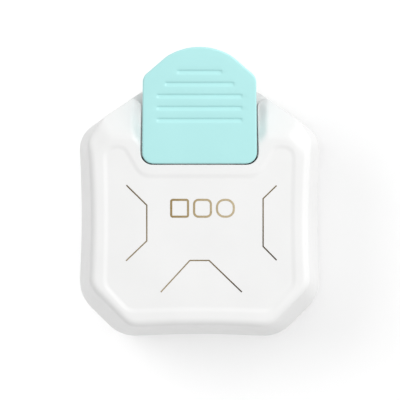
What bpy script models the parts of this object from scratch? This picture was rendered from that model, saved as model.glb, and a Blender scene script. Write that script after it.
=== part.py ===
"""Three-size corner punch: a palm-sized lever tool that rounds paper corners to three radii.

Frame: +X right, +Y back (towards the thumb end of the lever), +Z up, origin on the table
under the middle of the bounding box. Lengths are metres, written as millimetres * MM.
"""

import math

import bmesh
import bpy
from mathutils import Matrix, Vector

MM = 0.001
GAP = 0.3 * MM            # clearance between neighbouring pieces

# --- levels, from the table up -------------------------------------------------------------
Z_FOOT_TOP = 1.9 * MM
Z_BASE_BOTTOM = 1.2 * MM
FLOOR = 1.8 * MM          # base floor thickness
Z_BASE_RIM = 11.0 * MM
Z_DIE = (9.0 * MM, 11.0 * MM)
Z_FENCE = (11.3 * MM, 12.2 * MM)
Z_GUIDE = (12.5 * MM, 14.5 * MM)
Z_MOUTH_TOP = 13.6 * MM   # upper lip of the paper mouths
Z_COVER_BOTTOM = Z_BASE_RIM + GAP
Z_LEAN_START = 14.0 * MM  # the cover's wall stands straight up to here, then leans in
Z_RIM = 35.0 * MM
CREST_RADIUS = 2.2 * MM   # rounded crest between the leaning wall and the rim
WALL_LEAN = math.radians(8.2)
Z_WALL_TOP = Z_RIM - CREST_RADIUS * (1.0 - math.sin(WALL_LEAN))
Z_PANEL = Z_RIM - 0.32 * MM
WALL = 2.2 * MM           # wall thickness of both mouldings
Z_CEILING = Z_PANEL - WALL
Z_DECK = (17.5 * MM, 19.5 * MM)   # floor of the lever recess
FAR = 60.0 * MM           # well outside the object, for cuts that run right through

# --- plan outlines: right half as (x, y, corner radius), front middle first; 0 is a plain corner --
BODY_HALF = (
    (0.0, -41.68, 300.0),
    (23.3, -43.09, 11.0),
    (35.8, -30.7, 11.0),
    (34.5, -7.0, 330.0),
    (35.8, 16.7, 8.0),
    (29.36, 21.31, 0.0),
    (16.4, 30.2, 4.0),
)
WALL_TOP_HALF = (
    (0.0, -39.08, 300.0),
    (21.0, -40.35, 5.0),
    (33.0, -28.0, 5.0),
    (31.8, -7.0, 270.0),
    (33.4, 15.3, 5.0),
    (29.3, 21.2, 0.0),
    (16.35, 30.05, 3.7),
)
PANEL_HALF = (
    (0.0, -34.9, 400.0),
    (21.2, -35.6, 4.0),
    (28.3, -27.9, 4.0),
    (27.7, -8.0, 400.0),
    (28.3, 13.5, 3.2),
    (22.3, 13.5, 2.4),
    (17.3, 4.8, 4.5),
)
CORNER_STEPS = 3
WAIST_STEPS = 2            # for the very large radii that pull a side in
WAIST_RADIUS = 100.0

# --- rear slope of the ears and the lever recess ---------------------------------------------
SLOPE_START_Y = 16.9 * MM
SLOPE_ANGLE = math.radians(36.0)
RECESS_FRONT_Y = 8.2 * MM
RECESS_HALF = ((17.7, 8.2, 3.6), (17.3, 26.4, 2.2), (40.0, 38.0, 0.5), (40.0, 60.0, 0.5))
RECESS_SIDE = 23.0 * MM   # solid plastic of the ears starts this far out

# --- paper slots: corner radius, where the paper's corner stops, the way the paper points out --
SLOTS = {
    "small": (4.0 * MM, Vector((0.0, -17.6 * MM)), Vector((0.0, -1.0))),
    "medium": (7.0 * MM, Vector((-10.35 * MM, -9.3 * MM)), Vector((-1.0, 0.0))),
    "large": (10.0 * MM, Vector((11.8 * MM, -9.2 * MM)), Vector((1.0, 0.0))),
}
PUNCH_MARGIN = 3.0 * MM   # punch steel outside the paper's two edges
PUNCH_WING = 1.5 * MM     # punch steel past each end of the arc
ARC_STEPS = 6
Z_PUNCH = (13.0 * MM, 21.0 * MM)
RIVET_BACK = 0.6 * MM     # rivet centre, behind the paper's corner
RIVET_RADIUS = 1.2 * MM
RIVET_HEAD_RADIUS = 2.1 * MM
RIVET_DEPTH = 3.0 * MM

# --- carrier, posts and springs ----------------------------------------------------------------
Z_CARRIER = (21.3 * MM, 23.8 * MM)
CARRIER_CORNERS = ((-20.5, -27.3, 6.0), (22.0, -27.3, 6.0), (22.0, 6.8, 4.0), (-20.5, 6.8, 4.0))
POSTS = ((-15.0, -23.2), (15.8, -23.2), (-13.0, 2.6), (13.0, 2.6))
POST_RADIUS = 1.5 * MM
POST_FLANGE_RADIUS = 3.2 * MM
Z_POST_TOP = 28.0 * MM
POST_FLANGE = 0.8 * MM
SPRING_RADIUS = 2.5 * MM
SPRING_WIRE = 0.25 * MM
SPRING_TURNS = 3.0

# --- lever ---------------------------------------------------------------------------------------
PIVOT = Vector((0.0, -32.0 * MM, 25.5 * MM))
LEVER_RISE = math.radians(8.0)    # how far the free lever stands above its pressed place
PIN_RADIUS = 2.0 * MM
# thumb lever, in its own frame: x across, y along from the pivot, z up from the pivot
LEVER_HALF = (
    (17.2, 41.4, 3.2),
    (16.85, 67.3, 3.0),
    (9.6, 73.6, 8.0),
    (0.0, 78.7, 18.0),
)
LEVER_TOP = 4.2 * MM
LEVER_SKIRT = -1.3 * MM
LEVER_WALL = 1.9 * MM
LEVER_EDGE = 0.8 * MM
SKIRT_DRAFT = 0.75 * MM   # how far the lever's sides lean in towards their bottom edge
GROOVE_FIRST = 54.3 * MM
GROOVE_PITCH = 3.61 * MM
GROOVE_HALF_LENGTHS = (12.9, 12.9, 12.9, 10.5, 6.9)
GROOVE_WIDTH = 1.6 * MM
GROOVE_DEPTH = 0.42 * MM
ARM_X = (9.2 * MM, 10.8 * MM)
ARM_TOP = 0.4 * MM
ARM_EYE_RADIUS = 4.0 * MM
ARM_END = 67.0 * MM
ARM_PROFILE = (
    (0.0, -1.6 * MM),
    (5.0 * MM, -1.6 * MM),
    (19.0 * MM, -3.9 * MM),
    (44.0 * MM, -3.9 * MM),
    (ARM_END, -1.6 * MM),
    (ARM_END, ARM_TOP),
    (0.0, ARM_TOP),
)
WEB_START = 27.0 * MM
NOSE_Y = 22.0 * MM
NOSE_RADIUS = 2.4 * MM
NOSE_HALF_LENGTH = 8.9 * MM
NOSE_PIN_RADIUS = 1.0 * MM
LEVER_SCREWS_Y = (47.0 * MM, 63.0 * MM)
LEVER_SCREW_SHANK = 1.2 * MM
LEVER_SCREW_HEAD = 2.2 * MM
LEVER_BOSS_RADIUS = 3.0 * MM

# --- bracket, screws, feet, door -----------------------------------------------------------------
BRACKET_HALF_WIDTH = 13.8 * MM
BRACKET_SHEET = 1.6 * MM
BRACKET_HALF_DEPTH = 4.0 * MM
Z_BRACKET = Z_GUIDE[1] + GAP
BRACKET_SCREW_X = 7.0 * MM
BRACKET_SCREW_SHANK = 1.1 * MM
BRACKET_SCREW_HEAD = 2.1 * MM
CASE_SCREWS = {
    "front_left": (-21.5, -29.7),
    "front_right": (22.2, -29.7),
    "rear_left": (-26.8, 15.0),
    "rear_right": (26.8, 15.0),
}
CASE_SHANK = 1.4 * MM
CASE_HEAD = 2.7 * MM
Z_CASE_HEAD = (1.5 * MM, 3.4 * MM)
Z_CASE_TIP = 22.0 * MM
BOSS_RADIUS = 3.4 * MM
FEET = {
    "front_left": (-28.0, -19.5),
    "front_right": (28.0, -19.5),
    "rear_left": (-13.0, 23.2),
    "rear_right": (13.0, 23.2),
}
FOOT_RADIUS = 4.0 * MM
DOOR_HALF_WIDTH = 19.2 * MM
DOOR_FRONT_Y = -23.7 * MM
DOOR_SHEET = 1.6 * MM
DOOR_HINGE = Vector((0.0, 14.1 * MM, 2.8 * MM))
DOOR_BARREL = 1.5 * MM
DOOR_PIN = 0.7 * MM
DOOR_PIN_HALF_LENGTH = 21.6 * MM
DOOR_RIBS_X = (-12.0 * MM, 0.0, 12.0 * MM)
HINGE_LUG = 2.9 * MM


# ================================ helpers ========================================================

def clear_scene():
    for obj in list(bpy.data.objects):
        bpy.data.objects.remove(obj, do_unlink=True)


def material(name, colour, roughness, metallic=0.0):
    mat = bpy.data.materials.get(name) or bpy.data.materials.new(name)
    mat.use_nodes = True
    shader = mat.node_tree.nodes["Principled BSDF"]
    shader.inputs["Base Color"].default_value = (*colour, 1.0)
    shader.inputs["Roughness"].default_value = roughness
    shader.inputs["Metallic"].default_value = metallic
    return mat


def as_object(name, bm, mat=None, parent=None, location=(0.0, 0.0, 0.0)):
    """Turn a bmesh into a scene object with its normals facing out."""
    bmesh.ops.recalc_face_normals(bm, faces=bm.faces)
    mesh = bpy.data.meshes.new(name)
    bm.to_mesh(mesh)
    bm.free()
    if mat:
        mesh.materials.append(mat)
    obj = bpy.data.objects.new(name, mesh)
    obj.location = location
    obj.parent = parent
    bpy.context.scene.collection.objects.link(obj)
    return obj


def mirrored(half):
    """Full outline from its right half; a corner on the middle line isn't doubled."""
    left = [(-x, y, r) for x, y, r in reversed(half) if x != 0.0]
    return list(half) + left


def inset(corners, distance):
    """The same outline moved inwards, corner by corner, with its radii reduced to match."""
    count = len(corners)
    points = [Vector((x, y)) for x, y, r in corners]
    moved = []
    for i, (x, y, radius) in enumerate(corners):
        before = (points[i] - points[i - 1]).normalized()
        after = (points[(i + 1) % count] - points[i]).normalized()
        inward_before = Vector((-before.y, before.x))
        inward_after = Vector((-after.y, after.x))
        split = inward_before + inward_after
        reach = distance / (1.0 + inward_before.dot(inward_after))
        convex = before.x * after.y - before.y * after.x > 0.0
        change = -distance if convex else distance
        new_radius = max(radius + change, 0.4) if radius else 0.0
        moved.append((x + split.x * reach, y + split.y * reach, new_radius))
    return moved


def outline(corners, steps=CORNER_STEPS):
    """Points in metres round a closed outline, each corner with a radius turned into an arc."""
    count = len(corners)
    points = []
    for i, (x, y, radius) in enumerate(corners):
        here = Vector((x, y))
        if not radius:
            points.append(here * MM)
            continue
        before = (Vector(corners[i - 1][:2]) - here).normalized()
        after = (Vector(corners[(i + 1) % count][:2]) - here).normalized()
        half_angle = before.angle(after) / 2.0
        reach = radius / math.tan(half_angle)
        start = here + before * reach
        end = here + after * reach
        centre = here + (before + after).normalized() * (radius / math.sin(half_angle))
        from_centre = start - centre
        sweep = math.pi - 2.0 * half_angle
        if from_centre.x * (end - centre).y - from_centre.y * (end - centre).x < 0.0:
            sweep = -sweep
        pieces = WAIST_STEPS if radius > WAIST_RADIUS else steps
        for step in range(pieces + 1):
            turn = Matrix.Rotation(sweep * step / pieces, 2)
            points.append((centre + turn @ from_centre) * MM)
    return points


def loft(rings):
    """Closed body through stacked rings of (points, z), each ring with the same point count."""
    bm = bmesh.new()
    loops = [[bm.verts.new((p.x, p.y, z)) for p in points] for points, z in rings]
    count = len(loops[0])
    for low, high in zip(loops, loops[1:]):
        for i in range(count):
            j = (i + 1) % count
            bm.faces.new((low[i], low[j], high[j], high[i]))
    bm.faces.new(reversed(loops[0]))
    bm.faces.new(loops[-1])
    return bm


def prism(points, z_low, z_high):
    return loft(((points, z_low), (points, z_high)))


def box(low, high):
    corners = ((low[0], low[1]), (high[0], low[1]), (high[0], high[1]), (low[0], high[1]))
    return prism([Vector(corner) for corner in corners], low[2], high[2])


def disc(x, y, radius, z_low, z_high, sides=16):
    points = []
    for i in range(sides):
        angle = 2.0 * math.pi * i / sides
        points.append(Vector((x + radius * math.cos(angle), y + radius * math.sin(angle))))
    return prism(points, z_low, z_high)


def rod_x(x_low, x_high, y, z, radius, sides=16):
    """Round rod along X."""
    bm = disc(0.0, 0.0, radius, x_low, x_high, sides)
    turn = Matrix(((0, 0, 1, 0), (1, 0, 0, y), (0, 1, 0, z), (0, 0, 0, 1)))
    bmesh.ops.transform(bm, matrix=turn, verts=bm.verts)
    return bm


def sheet_x(profile, x_low, x_high):
    """Flat sheet standing across X, from its (y, z) side profile."""
    bm = prism([Vector(point) for point in profile], x_low, x_high)
    turn = Matrix(((0, 0, 1, 0), (1, 0, 0, 0), (0, 1, 0, 0), (0, 0, 0, 1)))
    bmesh.ops.transform(bm, matrix=turn, verts=bm.verts)
    return bm


def turned(x, y, profile, sides=16):
    """Body of revolution about a vertical axis, from (radius, z) pairs listed bottom to top."""
    rings = []
    for radius, z in profile:
        ring = []
        for i in range(sides):
            angle = 2.0 * math.pi * i / sides
            ring.append(Vector((x + radius * math.cos(angle), y + radius * math.sin(angle))))
        rings.append((ring, z))
    return loft(rings)


def settle(obj):
    """Replace the mesh by its modified form."""
    depsgraph = bpy.context.evaluated_depsgraph_get()
    mesh = bpy.data.meshes.new_from_object(obj.evaluated_get(depsgraph))
    old = obj.data
    obj.modifiers.clear()
    obj.data = mesh
    bpy.data.meshes.remove(old)


def combine(obj, tool_bm, operation):
    tool = as_object("tool", tool_bm, parent=obj.parent)
    tool.location = obj.location
    tool.hide_render = True
    tool.display_type = "WIRE"
    modifier = obj.modifiers.new(operation, "BOOLEAN")
    modifier.operation = operation
    modifier.solver = "EXACT"
    modifier.object = tool
    bpy.context.view_layer.update()
    settle(obj)
    bpy.data.objects.remove(tool, do_unlink=True)


def cut(obj, *tools):
    for tool in tools:
        combine(obj, tool, "DIFFERENCE")


def add(obj, *tools):
    for tool in tools:
        combine(obj, tool, "UNION")


def smooth(obj, angle=35.0):
    obj.data.shade_smooth()
    obj.data.set_sharp_from_angle(angle=math.radians(angle))


# ================================ materials ======================================================

def white_plastic():
    return material("white_plastic", (0.86, 0.86, 0.84), 0.42)


def mint_plastic():
    return material("mint_plastic", (0.50, 0.87, 0.85), 0.38)


def grey_plastic():
    return material("grey_plastic", (0.62, 0.63, 0.64), 0.5)


def nylon():
    return material("nylon", (0.80, 0.79, 0.74), 0.45)


def steel():
    return material("plate_steel", (0.62, 0.63, 0.64), 0.32, 1.0)


def tool_steel():
    return material("tool_steel", (0.48, 0.49, 0.51), 0.24, 1.0)


def zinc():
    return material("zinc_screw", (0.68, 0.69, 0.70), 0.30, 1.0)


def spring_steel():
    return material("spring_steel", (0.55, 0.55, 0.56), 0.28, 1.0)


def rubber():
    return material("foot_rubber", (0.22, 0.22, 0.23), 0.8)


# ================================ outlines of the punches ========================================

def paper_edges(out):
    """Unit directions of a paper corner's two edges, for paper that comes in from `out`."""
    quarter = Matrix.Rotation(math.radians(45.0), 2)
    return quarter.transposed() @ out, quarter @ out


def punch_outline(slot, clearance=0.0):
    """Plan of a punch: a block round the paper's corner with a concave arc facing the paper."""
    radius, apex, out = SLOTS[slot]
    first, second = paper_edges(out)
    margin = PUNCH_MARGIN + clearance
    wing = radius + PUNCH_WING + clearance
    arc = radius - clearance

    def place(a, b):
        return apex + first * a + second * b

    points = [place(-margin, -margin), place(wing, -margin), place(wing, clearance)]
    for step in range(ARC_STEPS + 1):
        angle = math.radians(270.0) - math.radians(90.0) * step / ARC_STEPS
        points.append(place(radius + arc * math.cos(angle), radius + arc * math.sin(angle)))
    points += [place(clearance, wing), place(-margin, wing)]
    return points


def rivet_place(slot):
    radius, apex, out = SLOTS[slot]
    return apex - out * RIVET_BACK


# ================================ mouldings ======================================================

def body_outline(distance=0.0):
    return outline(inset(mirrored(BODY_HALF), distance / MM))


def cover_rings(thickness, z_low, z_high):
    """Rings of the wall, straight and then leaning in, moved inwards by `thickness`."""
    low = body_outline(thickness)
    high = outline(inset(mirrored(WALL_TOP_HALF), thickness / MM))
    return [(low, z_low), (low, Z_LEAN_START), (high, z_high)]


def slope_tool(drop):
    """Everything above the rear slope, lowered by `drop` along its normal."""
    start = Vector((SLOPE_START_Y, Z_RIM))
    normal = Vector((math.sin(SLOPE_ANGLE), math.cos(SLOPE_ANGLE)))
    along = Vector((math.cos(SLOPE_ANGLE), -math.sin(SLOPE_ANGLE)))
    origin = start - normal * drop
    near, far = origin - along * FAR, origin + along * FAR
    corners = (near, far, far + normal * FAR, near + normal * FAR)
    bm = bmesh.new()
    sides = [[bm.verts.new((x, c.x, c.y)) for c in corners] for x in (-FAR, FAR)]
    bm.faces.new(sides[0])
    bm.faces.new(reversed(sides[1]))
    for i in range(len(corners)):
        j = (i + 1) % len(corners)
        bm.faces.new((sides[0][i], sides[1][i], sides[1][j], sides[0][j]))
    return bm


def recess_tool():
    """Lever recess: rounded front corners, straight sides, and an open back."""
    return prism(outline(mirrored(RECESS_HALF)), Z_DECK[1], Z_RIM + MM)


def cover_cavity():
    """Space inside the cover, as a tool: it keeps clear of the slope and of the lever recess."""
    rings = cover_rings(WALL, Z_COVER_BOTTOM - 1.0 * MM, Z_CEILING)
    cavity = as_object("cavity", loft(rings))
    cut(cavity, slope_tool(WALL))
    cut(cavity, box((-RECESS_SIDE, RECESS_FRONT_Y + WALL, Z_DECK[0]), (RECESS_SIDE, FAR, FAR)))
    for x, y in CASE_SCREWS.values():
        cut(cavity, disc(x * MM, y * MM, BOSS_RADIUS, Z_GUIDE[1] + GAP, FAR))
    bm = bmesh.new()
    bm.from_mesh(cavity.data)
    bpy.data.objects.remove(cavity, do_unlink=True)
    return bm


def top_cover():
    rings = cover_rings(0.0, Z_COVER_BOTTOM, Z_WALL_TOP)
    wall_top = mirrored(WALL_TOP_HALF)
    crest_steps = 3
    for step in range(1, crest_steps + 1):
        angle = WALL_LEAN + (math.radians(90.0) - WALL_LEAN) * step / crest_steps
        distance = CREST_RADIUS * (math.cos(WALL_LEAN) - math.cos(angle))
        z = Z_RIM - CREST_RADIUS * (1.0 - math.sin(angle))
        rings.append((outline(inset(wall_top, distance / MM)), z))
    cover = as_object("top_cover", loft(rings), white_plastic())
    cut(cover, slope_tool(0.0))
    cut(cover, prism(outline(mirrored(PANEL_HALF)), Z_PANEL, FAR))
    cut(cover, cover_cavity())
    cut(cover, recess_tool())
    for x, y in CASE_SCREWS.values():
        cut(cover, disc(x * MM, y * MM, CASE_SHANK + GAP, Z_GUIDE[1], Z_CASE_TIP + GAP, 12))
    for mouth in paper_mouths():
        cut(cover, mouth)
    smooth(cover)
    return cover


def paper_mouths():
    """Cuts for the three mouths that the paper goes into."""
    side_y = (-27.0 * MM, 10.5 * MM)
    side_x = (27.0 * MM, 45.0 * MM)
    front_x = 18.0 * MM
    front_y = (-50.0 * MM, -32.0 * MM)
    low = Z_COVER_BOTTOM - 1.0 * MM
    yield box((-side_x[1], side_y[0], low), (-side_x[0], side_y[1], Z_MOUTH_TOP))
    yield box((side_x[0], side_y[0], low), (side_x[1], side_y[1], Z_MOUTH_TOP))
    yield box((-front_x, front_y[0], low), (front_x, front_y[1], Z_MOUTH_TOP))


def base_shell():
    draft = 0.8 * MM
    foot_edge = 1.0 * MM
    rings = (
        (body_outline(draft + foot_edge), Z_BASE_BOTTOM),
        (body_outline(draft), Z_BASE_BOTTOM + foot_edge),
        (body_outline(), Z_BASE_RIM),
    )
    base = as_object("base_shell", loft(rings), white_plastic())
    inner = draft + WALL
    floor_top = Z_BASE_BOTTOM + FLOOR
    cut(base, prism(body_outline(inner + 1.6 * MM), floor_top, Z_BASE_RIM + 1.0 * MM))
    cut(base, prism(body_outline(inner), Z_DIE[0] - GAP, Z_BASE_RIM + 1.0 * MM))
    for x, y in CASE_SCREWS.values():
        add(base, disc(x * MM, y * MM, BOSS_RADIUS, Z_BASE_BOTTOM + 0.5 * MM, Z_DIE[0] - GAP))
    door_gap = DOOR_HALF_WIDTH + GAP
    for side in (-1.0, 1.0):
        near, far = sorted((side * door_gap, side * (door_gap + HINGE_LUG)))
        low = (near, DOOR_HINGE.y - 2.2 * MM, Z_BASE_BOTTOM + 0.5 * MM)
        high = (far, DOOR_HINGE.y + 2.2 * MM, DOOR_HINGE.z + 2.0 * MM)
        add(base, box(low, high))
    door_back = DOOR_HINGE.y + DOOR_BARREL + GAP
    cut(base, box((-door_gap, DOOR_FRONT_Y - GAP, 0.0), (door_gap, door_back, floor_top + 3.0 * MM)))
    pin_end = DOOR_PIN_HALF_LENGTH + GAP
    cut(base, rod_x(-pin_end, pin_end, DOOR_HINGE.y, DOOR_HINGE.z, DOOR_PIN + GAP, 12))
    for x, y in CASE_SCREWS.values():
        cut(base, disc(x * MM, y * MM, CASE_HEAD + GAP, 0.0, Z_CASE_HEAD[1] + GAP))
        cut(base, disc(x * MM, y * MM, CASE_SHANK + GAP, Z_CASE_HEAD[1], Z_BASE_RIM, 12))
    for x, y in FEET.values():
        cut(base, disc(x * MM, y * MM, FOOT_RADIUS + GAP, 0.0, Z_FOOT_TOP + GAP))
    smooth(base)
    return base


def rubber_feet():
    for place, (x, y) in FEET.items():
        edge = 0.4 * MM
        profile = ((FOOT_RADIUS - edge, 0.0), (FOOT_RADIUS, edge), (FOOT_RADIUS, Z_FOOT_TOP))
        smooth(as_object("foot_" + place, turned(x * MM, y * MM, profile), rubber()))


def case_screws():
    for place, (x, y) in CASE_SCREWS.items():
        tip = 0.8 * MM
        profile = (
            (CASE_HEAD - 0.4 * MM, Z_CASE_HEAD[0]),
            (CASE_HEAD, Z_CASE_HEAD[0] + 0.4 * MM),
            (CASE_HEAD, Z_CASE_HEAD[1]),
            (CASE_SHANK, Z_CASE_HEAD[1] + 0.05 * MM),
            (CASE_SHANK, Z_CASE_TIP - tip),
            (CASE_SHANK * 0.4, Z_CASE_TIP),
        )
        screw = as_object("case_screw_" + place, turned(x * MM, y * MM, profile), zinc())
        slot_half = 0.35 * MM
        for size in ((1.7 * MM, slot_half), (slot_half, 1.7 * MM)):
            low = (x * MM - size[0], y * MM - size[1], 0.0)
            high = (x * MM + size[0], y * MM + size[1], Z_CASE_HEAD[0] + 0.8 * MM)
            cut(screw, box(low, high))
        smooth(screw)


def chip_door():
    """Bottom door, drawn about its hinge axis: plate, barrel and finger recess."""
    plate_low = Z_BASE_BOTTOM - DOOR_HINGE.z
    front = DOOR_FRONT_Y - DOOR_HINGE.y
    low = (-DOOR_HALF_WIDTH, front, plate_low)
    high = (DOOR_HALF_WIDTH, 0.4 * MM, plate_low + DOOR_SHEET - 0.1 * MM)
    door = as_object("chip_door", box(low, high), grey_plastic(), location=DOOR_HINGE)
    add(door, rod_x(-DOOR_HALF_WIDTH, DOOR_HALF_WIDTH, 0.0, 0.0, DOOR_BARREL))
    rib_top = plate_low + DOOR_SHEET + 0.8 * MM
    half_rib = 0.5 * MM
    for x in DOOR_RIBS_X:
        low = (x - half_rib, front + 3.0 * MM, plate_low + 0.5 * MM)
        add(door, box(low, (x + half_rib, -0.5 * MM, rib_top)))
    cut(door, rod_x(-FAR, FAR, 0.0, 0.0, DOOR_PIN + GAP, 12))
    cut(door, rod_x(-6.0 * MM, 6.0 * MM, front + 3.5 * MM, plate_low - 1.2 * MM, 2.0 * MM, 12))
    smooth(door)
    return door


def chip_door_pin():
    pin = rod_x(-DOOR_PIN_HALF_LENGTH, DOOR_PIN_HALF_LENGTH, DOOR_HINGE.y, DOOR_HINGE.z, DOOR_PIN, 16)
    smooth(as_object("chip_door_pin", pin, zinc()))


# ================================ cutting set ====================================================

def plate(name, distance, z, mat, clearance):
    """Flat plate with the three punch openings and the four screw holes."""
    part = as_object(name, prism(body_outline(distance), *z), mat)
    for slot in SLOTS:
        cut(part, prism(punch_outline(slot, clearance), z[0] - MM, z[1] + MM))
    for x, y in CASE_SCREWS.values():
        cut(part, disc(x * MM, y * MM, CASE_SHANK + GAP, z[0] - MM, z[1] + MM, 12))
    return part


def cutting_plates():
    plate("die_plate", WALL + 1.2 * MM, Z_DIE, tool_steel(), GAP)
    guide = plate("guide_plate", WALL + 1.2 * MM, Z_GUIDE, steel(), GAP)
    for x, y in POSTS:
        cut(guide, disc(x * MM, y * MM, POST_RADIUS + GAP, Z_GUIDE[0] - MM, Z_GUIDE[1] + MM, 12))
    for x in (-BRACKET_SCREW_X, BRACKET_SCREW_X):
        hole = BRACKET_SCREW_SHANK + GAP
        cut(guide, disc(x, PIVOT.y, hole, Z_GUIDE[0] - MM, Z_GUIDE[1] + MM))


def along_edge(slot, which, length):
    radius, apex, out = SLOTS[slot]
    return apex + paper_edges(out)[which] * length


def paper_fences():
    """Three thin plates between die and guide: their slanted edges stop the paper's two edges."""
    start = 0.5 * MM
    reach = 28.0 * MM
    rear_side = 31.0 * MM
    corners = {
        "front_left": (along_edge("small", 0, start), along_edge("medium", 1, start),
                       along_edge("medium", 1, reach), along_edge("small", 0, reach)),
        "front_right": (along_edge("large", 0, start), along_edge("small", 1, start),
                        along_edge("small", 1, reach), along_edge("large", 0, reach)),
        "rear": (along_edge("medium", 0, start), along_edge("large", 1, start),
                 along_edge("large", 1, reach), Vector((rear_side, 15.0 * MM)),
                 Vector((15.0 * MM, 26.3 * MM)), Vector((-15.0 * MM, 26.3 * MM)),
                 Vector((-rear_side, 15.0 * MM)), along_edge("medium", 0, reach)),
    }
    for place, points in corners.items():
        fence = as_object("paper_fence_" + place, prism(points, *Z_FENCE), white_plastic())
        for slot in SLOTS:
            cut(fence, prism(punch_outline(slot, 0.5 * MM), Z_FENCE[0] - MM, Z_FENCE[1] + MM))
        for x, y in CASE_SCREWS.values():
            cut(fence, disc(x * MM, y * MM, CASE_SHANK + GAP, Z_FENCE[0] - MM, Z_FENCE[1] + MM, 12))


def guide_posts():
    for number, (x, y) in enumerate(POSTS, start=1):
        flange_low = Z_GUIDE[1] + GAP
        profile = (
            (POST_RADIUS, Z_GUIDE[0] + 0.1 * MM),
            (POST_RADIUS, flange_low),
            (POST_FLANGE_RADIUS, flange_low + 0.02 * MM),
            (POST_FLANGE_RADIUS, flange_low + POST_FLANGE),
            (POST_RADIUS, flange_low + POST_FLANGE + 0.02 * MM),
            (POST_RADIUS, Z_POST_TOP - 0.5 * MM),
            (POST_RADIUS - 0.5 * MM, Z_POST_TOP),
        )
        smooth(as_object(f"guide_post_{number}", turned(x * MM, y * MM, profile), steel()))


def return_springs():
    """Helical springs round the posts, between post flange and carrier."""
    z_low = Z_GUIDE[1] + GAP + POST_FLANGE + GAP + SPRING_WIRE
    z_high = Z_CARRIER[0] - GAP - SPRING_WIRE
    per_turn = 10
    count = int(SPRING_TURNS * per_turn)
    for number, (x, y) in enumerate(POSTS, start=1):
        name = f"return_spring_{number}"
        curve = bpy.data.curves.new(name, "CURVE")
        curve.dimensions = "3D"
        curve.bevel_depth = SPRING_WIRE
        curve.bevel_resolution = 0
        curve.use_fill_caps = True
        spline = curve.splines.new("POLY")
        spline.points.add(count)
        for i in range(count + 1):
            angle = 2.0 * math.pi * i / per_turn
            px = x * MM + SPRING_RADIUS * math.cos(angle)
            py = y * MM + SPRING_RADIUS * math.sin(angle)
            spline.points[i].co = (px, py, z_low + (z_high - z_low) * i / count, 1.0)
        curve.materials.append(spring_steel())
        obj = bpy.data.objects.new(name, curve)
        bpy.context.scene.collection.objects.link(obj)


def punch_carrier():
    carrier = as_object("punch_carrier", prism(outline(CARRIER_CORNERS), *Z_CARRIER), steel())
    for x, y in POSTS:
        cut(carrier, disc(x * MM, y * MM, POST_RADIUS + GAP, Z_CARRIER[0] - MM, Z_CARRIER[1] + MM, 12))
    for slot in SLOTS:
        spot = rivet_place(slot)
        cut(carrier, disc(spot.x, spot.y, RIVET_RADIUS + GAP, Z_CARRIER[0] - MM, Z_CARRIER[1] + MM, 12))
        head_low = Z_CARRIER[1] - 0.9 * MM
        cut(carrier, disc(spot.x, spot.y, RIVET_HEAD_RADIUS + GAP, head_low, Z_CARRIER[1] + MM, 12))
    smooth(carrier)


def punches():
    for slot in SLOTS:
        punch = as_object(slot + "_punch", prism(punch_outline(slot), *Z_PUNCH), tool_steel())
        spot = rivet_place(slot)
        hole_low = Z_PUNCH[1] - RIVET_DEPTH - GAP
        cut(punch, disc(spot.x, spot.y, RIVET_RADIUS + GAP, hole_low, Z_PUNCH[1] + MM, 12))
        smooth(punch)
        profile = (
            (RIVET_RADIUS, Z_PUNCH[1] - RIVET_DEPTH),
            (RIVET_RADIUS, Z_CARRIER[1] - 0.58 * MM),
            (RIVET_HEAD_RADIUS, Z_CARRIER[1] - 0.55 * MM),
            (RIVET_HEAD_RADIUS, Z_CARRIER[1] - 0.05 * MM),
        )
        smooth(as_object(slot + "_punch_rivet", turned(spot.x, spot.y, profile), zinc()))


# ================================ pivot bracket ==================================================

def pivot_bracket():
    """U-shaped sheet: a foot on the guide plate and two round ears that hold the pin."""
    depth = BRACKET_HALF_DEPTH
    y_low = PIVOT.y - depth
    y_high = PIVOT.y + depth
    half_width = BRACKET_HALF_WIDTH
    foot_high = Z_BRACKET + BRACKET_SHEET
    foot = box((-half_width, y_low, Z_BRACKET), (half_width, y_high, foot_high))
    bracket = as_object("pivot_bracket", foot, steel())
    for side in (-1.0, 1.0):
        near, far = sorted((side * half_width, side * (half_width - BRACKET_SHEET)))
        add(bracket, box((near, y_low, Z_BRACKET), (far, y_high, PIVOT.z)))
        add(bracket, rod_x(near, far, PIVOT.y, PIVOT.z, depth, 24))
        cut(bracket, rod_x(near - MM, far + MM, PIVOT.y, PIVOT.z, PIN_RADIUS + GAP))
        hole = BRACKET_SCREW_SHANK + GAP
        x = side * BRACKET_SCREW_X
        cut(bracket, disc(x, PIVOT.y, hole, Z_BRACKET - MM, foot_high + MM, 12))
    smooth(bracket)


def bracket_screws():
    head_low = Z_BRACKET + BRACKET_SHEET + GAP
    profile = (
        (BRACKET_SCREW_SHANK, Z_GUIDE[0] + 0.3 * MM),
        (BRACKET_SCREW_SHANK, head_low),
        (BRACKET_SCREW_HEAD, head_low + 0.02 * MM),
        (BRACKET_SCREW_HEAD, head_low + 1.0 * MM),
        (BRACKET_SCREW_HEAD - 0.6 * MM, head_low + 1.4 * MM),
    )
    for place, x in (("left", -BRACKET_SCREW_X), ("right", BRACKET_SCREW_X)):
        smooth(as_object("bracket_screw_" + place, turned(x, PIVOT.y, profile), zinc()))


def pivot_rod(x_low, x_high, radius):
    """Round rod on the lever's axis."""
    return rod_x(x_low, x_high, PIVOT.y, PIVOT.z, radius)


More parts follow.
